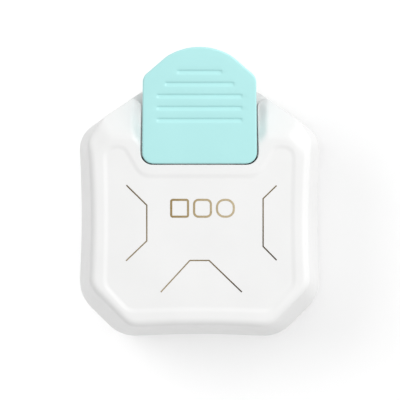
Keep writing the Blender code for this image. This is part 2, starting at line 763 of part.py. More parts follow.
def pivot_pin():
    """Stepped pin with a head at the left ear and a snap ring at the right ear."""
    outer = BRACKET_HALF_WIDTH + GAP
    head = 1.2 * MM
    tail = 2.4 * MM
    neck = PIN_RADIUS - 0.5 * MM
    ring_low = outer + 0.1 * MM
    ring_high = ring_low + 0.9 * MM
    pin = as_object("pivot_pin", pivot_rod(-outer - head, outer + tail, PIN_RADIUS), steel())
    add(pin, pivot_rod(-outer - head, -outer, PIN_RADIUS + 1.2 * MM))
    groove = as_object("groove", pivot_rod(ring_low - 0.2 * MM, ring_high + 0.2 * MM, 2.0 * PIN_RADIUS))
    cut(groove, pivot_rod(ring_low - MM, ring_high + MM, neck))
    bm = bmesh.new()
    bm.from_mesh(groove.data)
    bpy.data.objects.remove(groove, do_unlink=True)
    cut(pin, bm)
    smooth(pin)
    clip = as_object("pivot_clip", pivot_rod(ring_low, ring_high, PIN_RADIUS + 1.4 * MM), spring_steel())
    cut(clip, pivot_rod(ring_low - MM, ring_high + MM, neck + 0.2 * MM))
    slit = 1.3 * MM
    slit_low = (ring_low - MM, PIVOT.y - slit, PIVOT.z - 3.0 * PIN_RADIUS)
    cut(clip, box(slit_low, (ring_high + MM, PIVOT.y + slit, PIVOT.z)))
    smooth(clip)


# ================================ lever ==========================================================

def lever_outline(distance=0.0):
    """Plan of the thumb lever: square front, slightly tapered sides, slanted shoulders, round tip."""
    return outline(inset(mirrored(LEVER_HALF), distance / MM))


def thumb_lever(pivot):
    """Hollow thumb pad with five finger grooves and two screw bosses under its top."""
    edge = LEVER_EDGE
    rings = (
        (lever_outline(SKIRT_DRAFT), LEVER_SKIRT),
        (lever_outline(), LEVER_TOP - edge),
        (lever_outline(edge * 0.3), LEVER_TOP - edge * 0.3),
        (lever_outline(edge), LEVER_TOP),
    )
    lever = as_object("thumb_lever", loft(rings), mint_plastic(), pivot)
    cut(lever, prism(lever_outline(LEVER_WALL), LEVER_SKIRT - MM, LEVER_TOP - LEVER_WALL))
    notch = ARM_X[1] + 0.5 * MM
    front = LEVER_HALF[0][1] * MM
    notch_high = (notch, front + 2.0 * LEVER_WALL, ARM_TOP + GAP)
    cut(lever, box((-notch, front - MM, LEVER_SKIRT - MM), notch_high))
    for number, half_length in enumerate(GROOVE_HALF_LENGTHS):
        cut(lever, groove_tool(GROOVE_FIRST + GROOVE_PITCH * number, half_length))
    for y in LEVER_SCREWS_Y:
        add(lever, disc(0.0, y, LEVER_BOSS_RADIUS, ARM_TOP + GAP, LEVER_TOP - LEVER_WALL * 0.5))
        hole_top = LEVER_TOP - LEVER_WALL + 0.2 * MM
        cut(lever, disc(0.0, y, LEVER_SCREW_SHANK + GAP, ARM_TOP, hole_top, 12))
    smooth(lever)


def groove_tool(y, half_length):
    """Round-ended finger groove across the lever; `half_length` is in millimetres."""
    half_width = GROOVE_WIDTH / MM / 2.0
    end = half_width - 0.02
    low = y / MM - half_width
    high = y / MM + half_width
    corners = ((-half_length, low, end), (half_length, low, end),
               (half_length, high, end), (-half_length, high, end))
    return prism(outline(corners), LEVER_TOP - GROOVE_DEPTH, LEVER_TOP + MM)


def lever_arm(pivot):
    """Steel channel: two cheeks from the pivot to the thumb end, joined by a web."""
    left = (-ARM_X[1], -ARM_X[0])
    arm = as_object("lever_arm", sheet_x(ARM_PROFILE, *left), steel(), pivot)
    add(arm, rod_x(*left, 0.0, 0.0, ARM_EYE_RADIUS, 24))
    middle = (ARM_X[0] + ARM_X[1]) / 2.0
    tuck = 0.1 * MM
    web_low = (-middle, WEB_START, ARM_TOP - BRACKET_SHEET)
    add(arm, box(web_low, (middle, ARM_END - tuck, ARM_TOP - tuck)))
    add(arm, sheet_x(ARM_PROFILE, *ARM_X))
    add(arm, rod_x(*ARM_X, 0.0, 0.0, ARM_EYE_RADIUS, 24))
    for near, far in (left, ARM_X):
        cut(arm, rod_x(near - MM, far + MM, 0.0, 0.0, PIN_RADIUS + GAP))
        cut(arm, rod_x(near - MM, far + MM, NOSE_Y, nose_z(), NOSE_PIN_RADIUS + GAP, 12))
    for y in LEVER_SCREWS_Y:
        hole_low = ARM_TOP - 2.0 * BRACKET_SHEET
        cut(arm, disc(0.0, y, LEVER_SCREW_SHANK + GAP, hole_low, ARM_TOP + MM, 12))
    smooth(arm)


def nose_z():
    """Height of the press nose's centre above the pivot, so that it rests just over the carrier."""
    want = Z_CARRIER[1] + GAP + NOSE_RADIUS
    return (want - PIVOT.z - NOSE_Y * math.sin(LEVER_RISE)) / math.cos(LEVER_RISE)


def press_nose(pivot):
    z = nose_z()
    roller = rod_x(-NOSE_HALF_LENGTH, NOSE_HALF_LENGTH, NOSE_Y, z, NOSE_RADIUS)
    nose = as_object("press_nose", roller, nylon(), pivot)
    cut(nose, rod_x(-FAR, FAR, NOSE_Y, z, NOSE_PIN_RADIUS + GAP, 12))
    smooth(nose)
    end = ARM_X[1] + GAP
    pin = rod_x(-end, end, NOSE_Y, z, NOSE_PIN_RADIUS)
    smooth(as_object("nose_pin", pin, steel(), pivot))


def lever_screws(pivot):
    """Screws from below, through the web into the thumb pad's bosses."""
    head_top = ARM_TOP - BRACKET_SHEET - GAP
    profile = (
        (LEVER_SCREW_HEAD - 0.6 * MM, head_top - 1.3 * MM),
        (LEVER_SCREW_HEAD, head_top - 0.9 * MM),
        (LEVER_SCREW_HEAD, head_top),
        (LEVER_SCREW_SHANK, head_top + 0.02 * MM),
        (LEVER_SCREW_SHANK, LEVER_TOP - LEVER_WALL - 0.2 * MM),
    )
    for place, y in zip(("front", "rear"), LEVER_SCREWS_Y):
        smooth(as_object("lever_screw_" + place, turned(0.0, y, profile), zinc(), pivot))


def lever_assembly():
    pivot = bpy.data.objects.new("lever_pivot", None)
    pivot.location = PIVOT
    pivot.rotation_euler = (LEVER_RISE, 0.0, 0.0)
    bpy.context.scene.collection.objects.link(pivot)
    bpy.context.view_layer.update()
    thumb_lever(pivot)
    lever_arm(pivot)
    press_nose(pivot)
    lever_screws(pivot)


# ================================ whole object ===================================================

def build():
    clear_scene()
    top_cover()
    base_shell()
    rubber_feet()
    case_screws()
    chip_door()
    chip_door_pin()
    cutting_plates()
    paper_fences()
    guide_posts()
    return_springs()
    punch_carrier()
    punches()
    pivot_bracket()
    bracket_screws()
    pivot_pin()
    lever_assembly()


build()
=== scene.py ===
"""Three-size corner punch: finished mouldings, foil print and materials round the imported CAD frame.

Frame: +X right, +Y back, +Z up, metres. Outlines, levels and sizes are written in millimetres, and
the mesh code multiplies them by MM.
"""

import math

import bmesh
import bpy
import numpy as np
from mathutils import Matrix, Vector
from mathutils.geometry import delaunay_2d_cdt


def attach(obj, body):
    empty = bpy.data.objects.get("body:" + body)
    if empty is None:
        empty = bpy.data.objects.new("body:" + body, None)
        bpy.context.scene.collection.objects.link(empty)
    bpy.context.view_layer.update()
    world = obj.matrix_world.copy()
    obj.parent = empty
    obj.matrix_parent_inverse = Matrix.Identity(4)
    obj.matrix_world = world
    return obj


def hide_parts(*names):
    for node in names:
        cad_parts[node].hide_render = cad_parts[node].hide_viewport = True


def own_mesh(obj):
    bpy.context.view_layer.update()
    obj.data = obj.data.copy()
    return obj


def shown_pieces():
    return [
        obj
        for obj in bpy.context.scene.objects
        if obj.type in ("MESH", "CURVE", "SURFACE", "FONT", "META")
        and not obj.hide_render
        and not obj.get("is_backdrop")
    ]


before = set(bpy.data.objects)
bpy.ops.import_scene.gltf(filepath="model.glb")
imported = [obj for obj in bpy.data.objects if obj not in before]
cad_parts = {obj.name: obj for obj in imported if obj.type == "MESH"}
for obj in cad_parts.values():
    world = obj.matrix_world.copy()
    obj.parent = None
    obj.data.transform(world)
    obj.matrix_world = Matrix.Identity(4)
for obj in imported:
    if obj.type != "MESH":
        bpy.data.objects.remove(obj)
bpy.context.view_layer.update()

MM = 0.001
GAP = 0.3                       # clearance between neighbouring parts
WALL = 2.2                      # thickness of the case mouldings
FAR = 60.0                      # beyond the object, for tools that cut right through it
ABOVE_ALL = 80.0                # a level above the whole object

# --- levels in mm, the same as the CAD's ------------------------------------------------------
Z_BASE_BOTTOM = 1.2
Z_FLOOR_TOP = 3.0
Z_DIE_LOW = 9.0
Z_BASE_RIM = 11.0
Z_COVER_BOTTOM = 11.3
Z_LEAN_START = 14.0
Z_MOUTH_TOP = 13.6
Z_GUIDE_TOP = 14.5
Z_DECK = 19.5
Z_WALL_TOP = 33.11
Z_RIM = 35.0
Z_CEILING = 32.2

# --- plan outlines in mm: right half as (x, y, corner radius), front middle first --------------
BODY_HALF = ((0.0, -41.68, 300.0), (23.3, -43.09, 11.0), (35.8, -30.7, 11.0), (34.5, -7.0, 330.0),
             (35.8, 16.7, 8.0), (29.36, 21.31, 10.0), (16.4, 30.2, 4.0))
WALL_TOP_HALF = ((0.0, -39.08, 300.0), (21.0, -40.35, 5.0), (33.0, -28.0, 5.0), (31.8, -7.0, 270.0),
                 (33.4, 15.3, 5.0), (29.3, 21.2, 6.0), (16.35, 30.05, 3.7))
PANEL_HALF = ((0.0, -34.9, 400.0), (21.2, -35.6, 4.0), (28.3, -27.9, 4.0), (27.7, -8.0, 400.0),
              (28.3, 13.5, 3.2), (22.3, 13.5, 2.4), (17.3, 4.8, 4.5))
RECESS_HALF = ((17.65, 8.0, 3.6), (17.3, 26.4, 2.2), (40.0, 38.0, 0.5), (40.0, 60.0, 0.5))
LEVER_HALF = ((17.07, 41.25, 3.2), (16.85, 67.3, 3.0), (9.6, 73.6, 8.0), (0.0, 78.7, 18.0))

RING_POINTS = 400               # points round an outline
RING_SOFTEN = 6                 # rounds of smoothing on them

# --- cover: walls, crest, rim step, rear slope and the rounded lip of the lever recess ----------
WALL_LEAN = math.radians(8.2)   # lean at the wall's top, where the crest takes over
WALL_RINGS = 15
CREST_RADIUS = 2.2
CREST_RINGS = 10
PANEL_DROP = 0.26               # depth of the panel below the rim
STEP_START = -0.7               # where the step down begins, measured inwards from the outline
STEP_WIDTH = 1.7
SLOPE_ANGLE = math.radians(36.0)
SLOPE = math.tan(SLOPE_ANGLE)
SLOPE_START_Y = 16.9
SLOPE_FRONT_Y = 6.0             # the slope's rounding reaches no further forward
SLOPE_ROUND = 1.2
CORNER_ROUND = 4.0              # added to the rounding towards the rear corners
CORNER_START_X = 26.0
CORNER_BLEND = 6.0
EAR_FORWARD = 2.2               # how much earlier the slope starts beside the recess
EAR_X = 20.5
EAR_BLEND = 3.0
LIP_FRONT = 0.35                # reach of the lip from the recess's edge
LIP_REAR = 4.6                  # how much that reach grows towards the back
LIP_START_Y = 14.5
LIP_GROWTH = 12.0
LIP_FALL = 0.42                 # steepness at the recess's edge
LIP_LINES = (0.0, 0.06, 0.14, 0.24, 0.36)
CREST_LINES = (0.35, 0.7, 1.1)
# Extra points of the top: (x_low, x_high, y_low, y_high, pitch)
TOP_GRIDS = ((-30.0, 30.0, 12.0, 27.0, 0.7), (-24.5, -16.8, 8.5, 28.0, 0.45),
             (16.8, 24.5, 8.5, 28.0, 0.45), (-30.0, 30.0, -38.0, 12.0, 2.4))
CAVITY_POINTS = 160
CAVITY_SLOPE_Y = 12.6
RECESS_BACKING_X = 23.0         # solid left round the lever recess
RECESS_BACKING_Y = 8.2
# Paper mouths in the wall: (x_low, y_low, x_high, y_high)
MOUTHS = ((-45.0, -27.0, -27.0, 10.5), (27.0, -27.0, 45.0, 10.5), (-18.0, -50.0, 18.0, -32.0))

# --- base -------------------------------------------------------------------------------------
BASE_DRAFT = 0.8
BASE_EDGE = 1.0
BASE_RIM_EDGE = ((0.0, 0.15), (0.05, 0.05), (0.15, 0.0))    # (inward, down)
DIE_LEDGE = 1.6                 # width of the ledge that the die plate sits on
DOOR_HALF_X = 19.5
DOOR_FRONT_Y = -24.0
HINGE_Y = 14.1
HINGE_Z = 2.8
HINGE_BORE_X = 21.9
HINGE_BORE_RADIUS = 1.0
LUG_WIDTH = 2.9
LUG_HALF_DEPTH = 2.2
BOSS_RADIUS = 3.4
SCREW_BORE_RADIUS = 1.7
SCREW_BORE_TOP = 22.3
SCREW_HEAD_RADIUS = 3.0
SCREW_HEAD_TOP = 3.7
FOOT_POCKET_RADIUS = 4.3
FOOT_POCKET_TOP = 2.2

# --- lever, in its own level frame about the pivot ----------------------------------------------
PIVOT = Vector((0.0, -32.0 * MM, 25.5 * MM))
LEVER_RISE = math.radians(8.0)
LEVER_TOP = 4.2
LEVER_SKIRT = -1.3
LEVER_WALL = 1.9
LEVER_EDGE = 0.5
LEVER_POINTS = 320
SKIRT_DRAFT = 0.75
SKIRT_EDGE = 0.5
LEVER_GRID = (-17.0, 17.0, 41.0, 78.0, 2.0)
ARM_NOTCH_X = 11.3
ARM_NOTCH_Y = 40.4
ARM_TOP = 0.7
LEVER_SCREWS = ((0.0, 47.0), (0.0, 63.0))
LEVER_BOSS_RADIUS = 3.0
LEVER_BORE_RADIUS = 1.5
GROOVE_FIRST = 54.3
GROOVE_PITCH = 3.61
GROOVE_HALF_LENGTHS = (12.9, 12.9, 12.9, 10.5, 6.9)
GROOVE_HALF_WIDTH = 0.8
GROOVE_DEPTH = 0.37
GROOVE_REAR_WALL = 0.6
GROOVE_FRONT_WALL = 1.2
GROOVE_END_WALL = 0.9
GROOVE_OVERRUN = 0.1
GROOVE_LINES = (-0.1, 0.0, 0.1, 0.2, 0.3, 0.45, 0.6)

# --- screws and feet ----------------------------------------------------------------------------
CASE_SCREWS = ((-21.5, -29.7), (22.2, -29.7), (-26.8, 15.0), (26.8, 15.0))
FEET = ((-28.0, -19.5), (28.0, -19.5), (-13.0, 23.2), (13.0, 23.2))

# --- foil print -------------------------------------------------------------------------------
FOIL_LOW = Z_RIM - PANEL_DROP + 0.01
FOIL_HIGH = FOIL_LOW + 0.04
MARK_WIDTH = 0.36
EMBLEM_WIDTH = 0.62
EMBLEM_Y = -4.9
EMBLEM_SIZE = 5.0
EMBLEM_CARDS = ((-5.9, 0.5), (0.9, 1.3), (7.7, 2.2))   # (x, corner radius)

# --- studio: metres and watts -----------------------------------------------------------------
KEY_DIRECTION = (0.545, 0.345, 0.765)
LIGHT_TARGET = Vector((0.0, -0.005, 0.02))
SKY_STRENGTH = 0.775
SKY_TILT = 0.10                 # the sky is this much brighter towards the back
VIEW_WIDTH = 0.1188
CAMERA_PLACE = (0.00015, -0.00245, 0.5)


# ================================ outlines =====================================================

def mirrored(half):
    return list(half) + [(-x, y, r) for x, y, r in reversed(half) if x != 0.0]


def inset(corners, distance):
    """The outline moved inwards by `distance`, corner by corner, with its radii to match."""
    points = [Vector((x, y)) for x, y, r in corners]
    moved = []
    for i, (x, y, radius) in enumerate(corners):
        before = (points[i] - points[i - 1]).normalized()
        after = (points[(i + 1) % len(points)] - points[i]).normalized()
        split = Vector((-before.y, before.x)) + Vector((-after.y, after.x))
        reach = distance / (1.0 + before.dot(after))
        convex = before.x * after.y - before.y * after.x > 0.0
        new_radius = max(radius - distance if convex else radius + distance, 0.4)
        moved.append((x + split.x * reach, y + split.y * reach, new_radius))
    return moved


def between(low, high, share):
    """Outline part of the way from one list of corners to another."""
    return [tuple(a + (b - a) * share for a, b in zip(p, q)) for p, q in zip(low, high)]


def arcs(corners, steps=10):
    """Points round a closed outline, in mm, each corner turned into an arc."""
    points = []
    for i, (x, y, radius) in enumerate(corners):
        here = Vector((x, y))
        before = (Vector(corners[i - 1][:2]) - here).normalized()
        after = (Vector(corners[(i + 1) % len(corners)][:2]) - here).normalized()
        half_angle = before.angle(after) / 2.0
        centre = here + (before + after).normalized() * (radius / math.sin(half_angle))
        spoke = here + before * (radius / math.tan(half_angle)) - centre
        end = here + after * (radius / math.tan(half_angle)) - centre
        sweep = math.pi - 2.0 * half_angle
        if spoke.x * end.y - spoke.y * end.x < 0.0:
            sweep = -sweep
        for step in range(steps + 1):
            points.append(centre + Matrix.Rotation(sweep * step / steps, 2) @ spoke)
    return np.array([tuple(p) for p in points])


def even(points, count, soften=0):
    """Resample a closed line to `count` even points, optionally relaxing its corners."""
    closed = np.vstack([points, points[:1]])
    run = np.concatenate([[0.0], np.cumsum(np.linalg.norm(np.diff(closed, axis=0), axis=1))])
    want = np.linspace(0.0, run[-1], count, endpoint=False)
    out = np.column_stack([np.interp(want, run, closed[:, k]) for k in (0, 1)])
    for _ in range(soften):
        out = 0.5 * out + 0.25 * (np.roll(out, 1, axis=0) + np.roll(out, -1, axis=0))
    return out


def ring(corners, distance=0.0, count=RING_POINTS, soften=RING_SOFTEN):
    """Even points round an outline moved inwards by `distance`, with softened corners."""
    return even(arcs(inset(corners, distance)), count, soften)


def signed_distance(points, line):
    """Distance of points to a closed line, positive inside it."""
    a = line
    b = np.roll(line, -1, axis=0)
    ab = b - a
    best = np.full(len(points), 1e9)
    inside = np.zeros(len(points), bool)
    for p0, p1, d in zip(a, b, ab):
        rel = points - p0
        t = np.clip(rel @ d / (d @ d + 1e-12), 0.0, 1.0)
        gap = rel - t[:, None] * d
        best = np.minimum(best, np.hypot(gap[:, 0], gap[:, 1]))
        crosses = (p0[1] > points[:, 1]) != (p1[1] > points[:, 1])
        if crosses.any() and abs(d[1]) > 1e-12:
            x_at = p0[0] + (points[:, 1] - p0[1]) / d[1] * d[0]
            inside ^= crosses & (points[:, 0] < x_at)
    return np.where(inside, best, -best)


def s_curve(x):
    t = np.clip(x, 0.0, 1.0)
    return t * t * (3.0 - 2.0 * t)


def smooth_min(a, b, k):
    h = np.clip(0.5 + 0.5 * (b - a) / k, 0.0, 1.0)
    return b * (1.0 - h) + a * h - k * h * (1.0 - h)


# ================================ mesh helpers =================================================

def new_object(name, bm, mat=None):
    bmesh.ops.recalc_face_normals(bm, faces=bm.faces)
    mesh = bpy.data.meshes.new(name)
    bm.to_mesh(mesh)
    bm.free()
    if mat:
        mesh.materials.append(mat)
    obj = bpy.data.objects.new(name, mesh)
    bpy.context.scene.collection.objects.link(obj)
    return obj


def loft(rings):
    """Closed body through rings of (points in mm, z in mm or one z for each point)."""
    bm = bmesh.new()
    loops = []
    for points, z in rings:
        heights = np.broadcast_to(z, len(points))
        loops.append([bm.verts.new((p[0] * MM, p[1] * MM, h * MM)) for p, h in zip(points, heights)])
    count = len(loops[0])
    for low, high in zip(loops, loops[1:]):
        for i in range(count):
            j = (i + 1) % count
            bm.faces.new((low[i], low[j], high[j], high[i]))
    bm.faces.new(reversed(loops[0]))
    bm.faces.new(loops[-1])
    return bm


def box(low, high):
    points = ((low[0], low[1]), (high[0], low[1]), (high[0], high[1]), (low[0], high[1]))
    return loft(((points, low[2]), (points, high[2])))


def circle(x, y, radius, sides=32):
    angle = 2.0 * np.pi * np.arange(sides) / sides
    return np.column_stack([x + radius * np.cos(angle), y + radius * np.sin(angle)])


def disc(x, y, radius, z_low, z_high, sides=32):
    points = circle(x, y, radius, sides)
    return loft(((points, z_low), (points, z_high)))


def discs(places, radius, z_low, z_high, sides=32):
    """A disc at each of several plan places, as one mesh."""
    return merged([disc(x, y, radius, z_low, z_high, sides) for x, y in places])


def merged(parts):
    """Several closed bodies as one mesh."""
    bm = bmesh.new()
    for part in parts:
        mesh = bpy.data.meshes.new("part")
        bmesh.ops.recalc_face_normals(part, faces=part.faces)
        part.to_mesh(mesh)
        part.free()
        bm.from_mesh(mesh)
        bpy.data.meshes.remove(mesh)
    return bm


def boolean(obj, tool_bm, operation="DIFFERENCE"):
    """Cut the tool from the object, or join it on."""
    tool = new_object("tool", tool_bm)
    modifier = obj.modifiers.new("cut", "BOOLEAN")
    modifier.operation = operation
    modifier.solver = "EXACT"
    modifier.object = tool
    bpy.context.view_layer.update()
    depsgraph = bpy.context.evaluated_depsgraph_get()
    mesh = bpy.data.meshes.new_from_object(obj.evaluated_get(depsgraph))
    old = obj.data
    obj.modifiers.clear()
    obj.data = mesh
    bpy.data.meshes.remove(old)
    bpy.data.objects.remove(tool, do_unlink=True)


def taken(obj):
    """The mesh of an object as a bmesh; the object goes."""
    bm = bmesh.new()
    bm.from_mesh(obj.data)
    bpy.data.objects.remove(obj, do_unlink=True)
    return bm


def shade(obj, angle=32.0):
    obj.data.shade_smooth()
    obj.data.set_sharp_from_angle(angle=math.radians(angle))
    return obj


def skin(rings, inner_rings, open_lines, loose, height):
    """Closed body whose top is a height field.

    rings: (points, z) from the bottom edge up to where the top begins, equal counts.
    inner_rings and open_lines: lines of points that the top's triangles follow.
    loose: extra points. height(points, z) gives the final height of each point.
    """
    bm = bmesh.new()
    loops = []
    for points, z in rings:
        flat = np.asarray(points)
        heights = height(flat, np.full(len(flat), float(z)))
        loops.append([bm.verts.new((p[0] * MM, p[1] * MM, h * MM)) for p, h in zip(flat, heights)])
    count = len(loops[0])
    for low, high in zip(loops, loops[1:]):
        for i in range(count):
            j = (i + 1) % count
            bm.faces.new((low[i], low[j], high[j], high[i]))
    bm.faces.new(reversed(loops[0]))
    top_ring, top_z = rings[-1]
    coords = [tuple(p) for p in top_ring]
    edges = []
    for line, closed in [(r, True) for r in inner_rings] + [(r, False) for r in open_lines]:
        first = len(coords)
        coords += [tuple(p) for p in line]
        edges += [(first + i, first + i + 1) for i in range(len(line) - 1)]
        if closed:
            edges.append((len(coords) - 1, first))
    coords += [tuple(p) for p in loose]
    made = delaunay_2d_cdt([Vector(c) for c in coords], edges, [list(range(count))], 1, 1e-5)
    points = np.array([tuple(v) for v in made[0]])
    heights = height(points, np.full(len(points), float(top_z)))
    verts = [bm.verts.new((p[0] * MM, p[1] * MM, h * MM)) for p, h in zip(points, heights)]
    for face in made[2]:
        bm.faces.new([verts[i] for i in face])
    bmesh.ops.remove_doubles(bm, verts=bm.verts, dist=1e-7)
    return bm


def grid(x_low, x_high, y_low, y_high, pitch):
    """Plan points in staggered rows."""
    xs = np.arange(x_low, x_high, pitch)
    ys = np.arange(y_low, y_high, pitch)
    x, y = np.meshgrid(xs, ys)
    x[1::2] += pitch / 2.0
    return np.column_stack([x.ravel(), y.ravel()])


def thinned(points, keep_from, least):
    """Points that are at least `least` away from every point of keep_from."""
    kept = []
    for block in np.array_split(points, max(1, len(points) // 400)):
        gap = np.linalg.norm(block[:, None, :] - keep_from[None, :, :], axis=2).min(axis=1)
        kept.append(block[gap > least])
    return np.vstack(kept)


# ================================ materials ====================================================

def blank(name):
    mat = bpy.data.materials.new(name)
    mat.use_nodes = True
    tree = mat.node_tree
    return mat, tree, tree.nodes["Principled BSDF"]


def node(tree, kind, **inputs):
    made = tree.nodes.new(kind)
    for key, value in inputs.items():
        made.inputs[key.replace("_", " ")].default_value = value
    return made


def noise(tree, scale, detail=2.0, stretch=None):
    """Object-space noise, optionally stretched along an axis."""
    coords = tree.nodes.new("ShaderNodeTexCoord")
    source = coords.outputs["Object"]
    if stretch:
        mapping = tree.nodes.new("ShaderNodeMapping")
        mapping.inputs["Scale"].default_value = stretch
        tree.links.new(source, mapping.inputs["Vector"])
        source = mapping.outputs["Vector"]
    tex = node(tree, "ShaderNodeTexNoise", Scale=scale, Detail=detail)
    tree.links.new(source, tex.inputs["Vector"])
    return tex.outputs["Fac"]


def spread(tree, fac, low, high, start=0.3, stop=0.7):
    """Map a 0..1 factor to low..high."""
    remap = tree.nodes.new("ShaderNodeMapRange")
    remap.inputs["From Min"].default_value = start
    remap.inputs["From Max"].default_value = stop
    remap.inputs["To Min"].default_value = low
    remap.inputs["To Max"].default_value = high
    tree.links.new(fac, remap.inputs["Value"])
    return remap.outputs["Result"]


def colours(tree, fac, stops):
    ramp = tree.nodes.new("ShaderNodeValToRGB")
    ramp.color_ramp.elements[0].position = stops[0][0]
    ramp.color_ramp.elements[0].color = (*stops[0][1], 1.0)
    ramp.color_ramp.elements[1].position = stops[-1][0]
    ramp.color_ramp.elements[1].color = (*stops[-1][1], 1.0)
    for place, colour in stops[1:-1]:
        ramp.color_ramp.elements.new(place).color = (*colour, 1.0)
    tree.links.new(fac, ramp.inputs["Fac"])
    return ramp.outputs["Color"]


def bumped(tree, shader, layers):
    """Stack bump layers of (height, strength, distance in metres) under the shader's normal."""
    normal = None
    for height, strength, distance in layers:
        bump = node(tree, "ShaderNodeBump", Strength=strength, Distance=distance)
        tree.links.new(height, bump.inputs["Height"])
        if normal:
            tree.links.new(normal, bump.inputs["Normal"])
        normal = bump.outputs["Normal"]
    tree.links.new(normal, shader.inputs["Normal"])


def plastic(name, low, high, roughness, grain=0.12):
    """Moulded plastic: fine spark-eroded grain, faint flow clouds and uneven satin."""
    mat, tree, shader = blank(name)
    clouds = noise(tree, 55.0, 3.0)
    tree.links.new(colours(tree, clouds, ((0.3, low), (0.7, high))), shader.inputs["Base Color"])
    tree.links.new(spread(tree, noise(tree, 260.0, 4.0), roughness - 0.05, roughness + 0.05),
                   shader.inputs["Roughness"])
    bumped(tree, shader, ((noise(tree, 5200.0, 3.0), grain, 0.00003),
                          (noise(tree, 90.0, 1.0), 0.05, 0.0002)))
    shader.inputs["IOR"].default_value = 1.49
    return mat


def brushed(name, low, high, roughness, along=(1.0, 1.0, 1.0), scale=900.0):
    """Bare metal with grinding lines drawn out along one axis, and faint handling smudges."""
    mat, tree, shader = blank(name)
    lines = noise(tree, scale, 5.0, along)
    tree.links.new(colours(tree, lines, ((0.25, low), (0.75, high))), shader.inputs["Base Color"])
    tree.links.new(spread(tree, noise(tree, 140.0, 4.0), roughness - 0.08, roughness + 0.10),
                   shader.inputs["Roughness"])
    bumped(tree, shader, ((lines, 0.25, 0.00002),))
    shader.inputs["Metallic"].default_value = 1.0
    return mat


def rubbery(name, low, high):
    mat, tree, shader = blank(name)
    tree.links.new(colours(tree, noise(tree, 700.0, 4.0), ((0.3, low), (0.7, high))),
                   shader.inputs["Base Color"])
    tree.links.new(spread(tree, noise(tree, 400.0, 3.0), 0.7, 0.9), shader.inputs["Roughness"])
    bumped(tree, shader, ((noise(tree, 3200.0, 4.0), 0.4, 0.00006),))
    return mat


def foil(name, stops, ends):
    """Hot-stamped gold foil with a painted reflection: the colour stops run along the mark from ends[0]
    to ends[1] in mm, mixed with a random grain tone.
    """
    mat, tree, shader = blank(name)
    coords = tree.nodes.new("ShaderNodeTexCoord")
    start, stop = Vector((*ends[0], 0.0)) * MM, Vector((*ends[1], 0.0)) * MM
    # Position along the mark from ends[0] to ends[1]; it picks the painted reflection's tone from the
    # stops.
    offset = tree.nodes.new("ShaderNodeVectorMath")
    offset.operation = "SUBTRACT"
    offset.inputs[1].default_value = start
    tree.links.new(coords.outputs["Object"], offset.inputs[0])
    dot = tree.nodes.new("ShaderNodeVectorMath")
    dot.operation = "DOT_PRODUCT"
    dot.inputs[1].default_value = (stop - start) / (stop - start).length_squared
    tree.links.new(offset.outputs["Vector"], dot.inputs[0])
    # Random grain tone plus the painted reflection ramp, looked up in the colour stops.
    grain_and_painted_reflection = tree.nodes.new("ShaderNodeMath")
    grain_and_painted_reflection.operation = "MULTIPLY_ADD"
    grain_and_painted_reflection.inputs[1].default_value = 0.22
    tree.links.new(noise(tree, 900.0, 4.0), grain_and_painted_reflection.inputs[0])
    painted_reflection_ramp = tree.nodes.new("ShaderNodeMath")
    painted_reflection_ramp.operation = "SUBTRACT"
    painted_reflection_ramp.inputs[1].default_value = 0.11
    tree.links.new(dot.outputs["Value"], painted_reflection_ramp.inputs[0])
    tree.links.new(painted_reflection_ramp.outputs["Value"], grain_and_painted_reflection.inputs[2])
    tree.links.new(colours(tree, grain_and_painted_reflection.outputs["Value"], stops), shader.inputs["Base Color"])
    tree.links.new(spread(tree, noise(tree, 2600.0, 4.0), 0.25, 0.5), shader.inputs["Roughness"])
    bumped(tree, shader, ((noise(tree, 6500.0, 3.0), 0.25, 0.00002),))
    shader.inputs["Metallic"].default_value = 1.0
    return mat


WHITE = plastic("moulded_white", (0.735, 0.735, 0.732), (0.760, 0.760, 0.757), 0.45)
MINT = plastic("moulded_mint", (0.400, 0.722, 0.718), (0.415, 0.742, 0.738), 0.40)
GREY = plastic("moulded_grey", (0.50, 0.51, 0.52), (0.56, 0.57, 0.58), 0.5, 0.2)
NYLON = plastic("natural_nylon", (0.62, 0.60, 0.53), (0.70, 0.68, 0.61), 0.42)
STEEL = brushed("rolled_steel", (0.42, 0.43, 0.44), (0.62, 0.63, 0.64), 0.34, (1.0, 14.0, 1.0))
GROUND = brushed("ground_tool_steel", (0.36, 0.37, 0.39), (0.56, 0.57, 0.59), 0.24,
                 (12.0, 1.0, 1.0), 1300.0)
ZINC = brushed("zinc_plate", (0.50, 0.51, 0.53), (0.68, 0.69, 0.71), 0.32, (1.0, 1.0, 1.0), 1500.0)
SPRING = brushed("drawn_wire", (0.30, 0.30, 0.31), (0.52, 0.52, 0.53), 0.26, (1.0, 1.0, 8.0), 1500.0)
RUBBER = rubbery("foot_rubber_grain", (0.030, 0.030, 0.032), (0.050, 0.050, 0.052))


# ================================ top cover ====================================================

PANEL_LINE = ring(mirrored(PANEL_HALF), 0.0, 500, 4)
RECESS_LINE = ring(mirrored(RECESS_HALF), 0.0, 500, 0)


def slope_start(x):
    """Where the top begins to fall to the back: further forward beside the lever recess."""
    return SLOPE_START_Y - EAR_FORWARD * s_curve((EAR_X - np.abs(x)) / EAR_BLEND)


def cover_height(points, z):
    """Height of the cover's outside at plan points whose wall, crest or rim height is z."""
    x = points[:, 0]
    y = points[:, 1]
    panel = PANEL_DROP * s_curve((signed_distance(points, PANEL_LINE) - STEP_START) / STEP_WIDTH)
    top = z - np.where(z >= Z_RIM - 1e-6, panel, 0.0)
    falling = Z_RIM - SLOPE * (y - slope_start(x))
    rounding = SLOPE_ROUND + CORNER_ROUND * s_curve((np.abs(x) - CORNER_START_X) / CORNER_BLEND)
    top = np.where(y > SLOPE_FRONT_Y, smooth_min(top, falling, rounding), top)
    reach = LIP_FRONT + LIP_REAR * np.clip((y - LIP_START_Y) / LIP_GROWTH, 0.0, 1.2)
    outside = np.maximum(-signed_distance(points, RECESS_LINE), 0.0)
    lip = LIP_FALL * np.maximum(reach - outside, 0.0) ** 2 / (2.0 * reach)
    return top - np.where(top > Z_DECK + 4.0, lip, 0.0)


